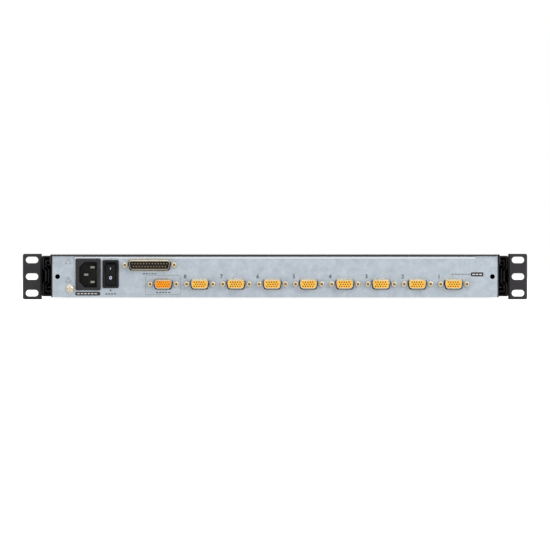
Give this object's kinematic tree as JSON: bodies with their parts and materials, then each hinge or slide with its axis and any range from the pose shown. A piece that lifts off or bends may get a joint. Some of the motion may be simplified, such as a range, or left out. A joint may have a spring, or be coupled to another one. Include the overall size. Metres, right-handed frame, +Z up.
{
  "type": "rack-mount KVM console switch",
  "caption": "Rack-mount KVM switch console: slide-out chassis with port-row rear panel, keyboard, touchpad and folding LCD, on adjustable rack slides.",
  "frame": {"origin": "centre of the front ears' slot pattern, on the plane where the ears meet the rack posts", "axes": "+X to the right seen from the user's side at the front, +Y back into the rack towards the rear panel, +Z up"},
  "size_m": [0.4826, 0.71, 0.0436],
  "materials": {
    "slide_steel": "dark zinc plate, satin",
    "black_steel": "fine-textured black powder coat",
    "zinc_panel": "pale blue zinc plate, satin",
    "plated_steel": "nickel plate",
    "screw_steel": "zinc plate",
    "jack_steel": "yellow zinc plate",
    "yellow_plastic": "moulded, semi-gloss",
    "orange_plastic": "moulded, semi-gloss",
    "gold_contacts": "gold plate",
    "blade_metal": "tin plate",
    "black_plastic": "moulded, fine texture",
    "rocker_plastic": "moulded, glossy",
    "handle_plastic": "moulded, fine texture",
    "deck_plastic": "painted sheet, satin",
    "key_plastic": "moulded, satin",
    "button_plastic": "moulded, satin",
    "dome_rubber": "silicone",
    "screen": "dark glass front on a steel-framed module",
    "circuit_board": "green solder mask",
    "electronics": "moulded packages"
  },
  "bodies": {
    "rack_rails": {"rail_outer_left": "slide_steel", "rail_outer_right": "slide_steel", "front_bracket_left": "black_steel", "front_bracket_right": "black_steel", "bracket_screws": "screw_steel"},
    "rear_bracket_left": {"rear_bracket_left": "black_steel"},
    "rear_bracket_right": {"rear_bracket_right": "black_steel"},
    "middle_rails": {"rail_middle_left": "slide_steel", "rail_middle_right": "slide_steel", "ball_cages": "slide_steel"},
    "drawer": {"rail_inner_left": "slide_steel", "rail_inner_right": "slide_steel", "chassis_tray": "black_steel", "rear_top_cover": "black_steel", "rear_panel": "zinc_panel", "power_inlet": "black_plastic", "inlet_blades": "blade_metal", "switch_frame": "black_plastic", "chain_port_shell": "plated_steel", "chain_port_insert": "black_plastic", "chain_port_pins": "gold_contacts", "console_port_shell": "screw_steel", "console_port_insert": "orange_plastic", "kvm_port_1": "plated_steel", "kvm_port_2": "plated_steel", "kvm_port_3": "plated_steel", "kvm_port_4": "plated_steel", "kvm_port_5": "plated_steel", "kvm_port_6": "plated_steel", "kvm_port_7": "plated_steel", "kvm_port_8": "plated_steel", "kvm_port_inserts": "yellow_plastic", "jack_screws": "jack_steel", "ground_screw": "screw_steel", "cover_screws": "screw_steel", "main_board": "circuit_board", "switch_chips": "electronics", "power_board": "circuit_board", "power_parts": "electronics", "front_handle": "handle_plastic", "usb_port": "plated_steel", "keyboard_deck": "deck_plastic", "keyboard_base": "black_plastic", "rubber_domes": "dome_rubber", "touchpad": "black_plastic", "hinge_brackets": "plated_steel"},
    "power_rocker": {"switch_rocker": "rocker_plastic"},
    "main_keys": {"main_keys": "key_plastic"},
    "navigation_keys": {"navigation_keys": "key_plastic"},
    "number_keys": {"number_keys": "key_plastic"},
    "release_left": {"release_left": "button_plastic"},
    "release_right": {"release_right": "button_plastic"},
    "touchpad_button_left": {"touchpad_button_left": "button_plastic"},
    "touchpad_button_right": {"touchpad_button_right": "button_plastic"},
    "lcd": {"lcd_cover": "black_steel", "lcd_bezel": "black_plastic", "lcd_panel": "screen", "lcd_board": "circuit_board", "hinge_leaves": "screw_steel"},
    "lcd_buttons": {"lcd_buttons": "button_plastic"}
  },
  "joints": [
    {"name": "drawer_slide", "type": "slide", "parent": "rack_rails", "child": "drawer", "axis": [0, -1, 0], "range_m": [0, 0.36]},
    {"name": "middle_slide", "type": "slide", "parent": "rack_rails", "child": "middle_rails", "axis": [0, -1, 0], "range_m": [0, 0.18]},
    {"name": "rear_bracket_left_slide", "type": "slide", "parent": "rack_rails", "child": "rear_bracket_left", "axis": [0, 1, 0], "range_m": [-0.025, 0.105]},
    {"name": "rear_bracket_right_slide", "type": "slide", "parent": "rack_rails", "child": "rear_bracket_right", "axis": [0, 1, 0], "range_m": [-0.025, 0.105]},
    {"name": "lcd_hinge", "type": "hinge", "parent": "drawer", "child": "lcd", "pos_m": [0, 0.32, 0.0131], "axis": [-1, 0, 0], "range_deg": [0, 110]},
    {"name": "rocker_hinge", "type": "hinge", "parent": "drawer", "child": "power_rocker", "pos_m": [0.1568, 0.6641, 0.0024], "axis": [1, 0, 0], "range_deg": [0, 16]},
    {"name": "main_keys_press", "type": "slide", "parent": "drawer", "child": "main_keys", "axis": [0, 0, -1], "range_m": [0, 0.002], "stiffness_N_per_m": 1000, "springref_m": -0.003, "deforming": ["rubber_domes"]},
    {"name": "navigation_keys_press", "type": "slide", "parent": "drawer", "child": "navigation_keys", "axis": [0, 0, -1], "range_m": [0, 0.002], "stiffness_N_per_m": 1000, "springref_m": -0.003, "deforming": ["rubber_domes"]},
    {"name": "number_keys_press", "type": "slide", "parent": "drawer", "child": "number_keys", "axis": [0, 0, -1], "range_m": [0, 0.002], "stiffness_N_per_m": 1000, "springref_m": -0.003, "deforming": ["rubber_domes"]},
    {"name": "release_left_press", "type": "slide", "parent": "drawer", "child": "release_left", "axis": [0, 1, 0], "range_m": [0, 0.0025], "stiffness_N_per_m": 400, "springref_m": -0.004},
    {"name": "release_right_press", "type": "slide", "parent": "drawer", "child": "release_right", "axis": [0, 1, 0], "range_m": [0, 0.0025], "stiffness_N_per_m": 400, "springref_m": -0.004},
    {"name": "touchpad_button_left_press", "type": "slide", "parent": "drawer", "child": "touchpad_button_left", "axis": [0, 0, -1], "range_m": [0, 0.0006], "stiffness_N_per_m": 600, "springref_m": -0.001},
    {"name": "touchpad_button_right_press", "type": "slide", "parent": "drawer", "child": "touchpad_button_right", "axis": [0, 0, -1], "range_m": [0, 0.0006], "stiffness_N_per_m": 600, "springref_m": -0.001},
    {"name": "lcd_buttons_press", "type": "slide", "parent": "lcd", "child": "lcd_buttons", "axis": [0, 0, 1], "range_m": [0, 0.0005], "stiffness_N_per_m": 600, "springref_m": -0.001}
  ],
  "couplings": [
    {"joint": "middle_slide", "follows": "drawer_slide", "ratio": 0.5}
  ]
}
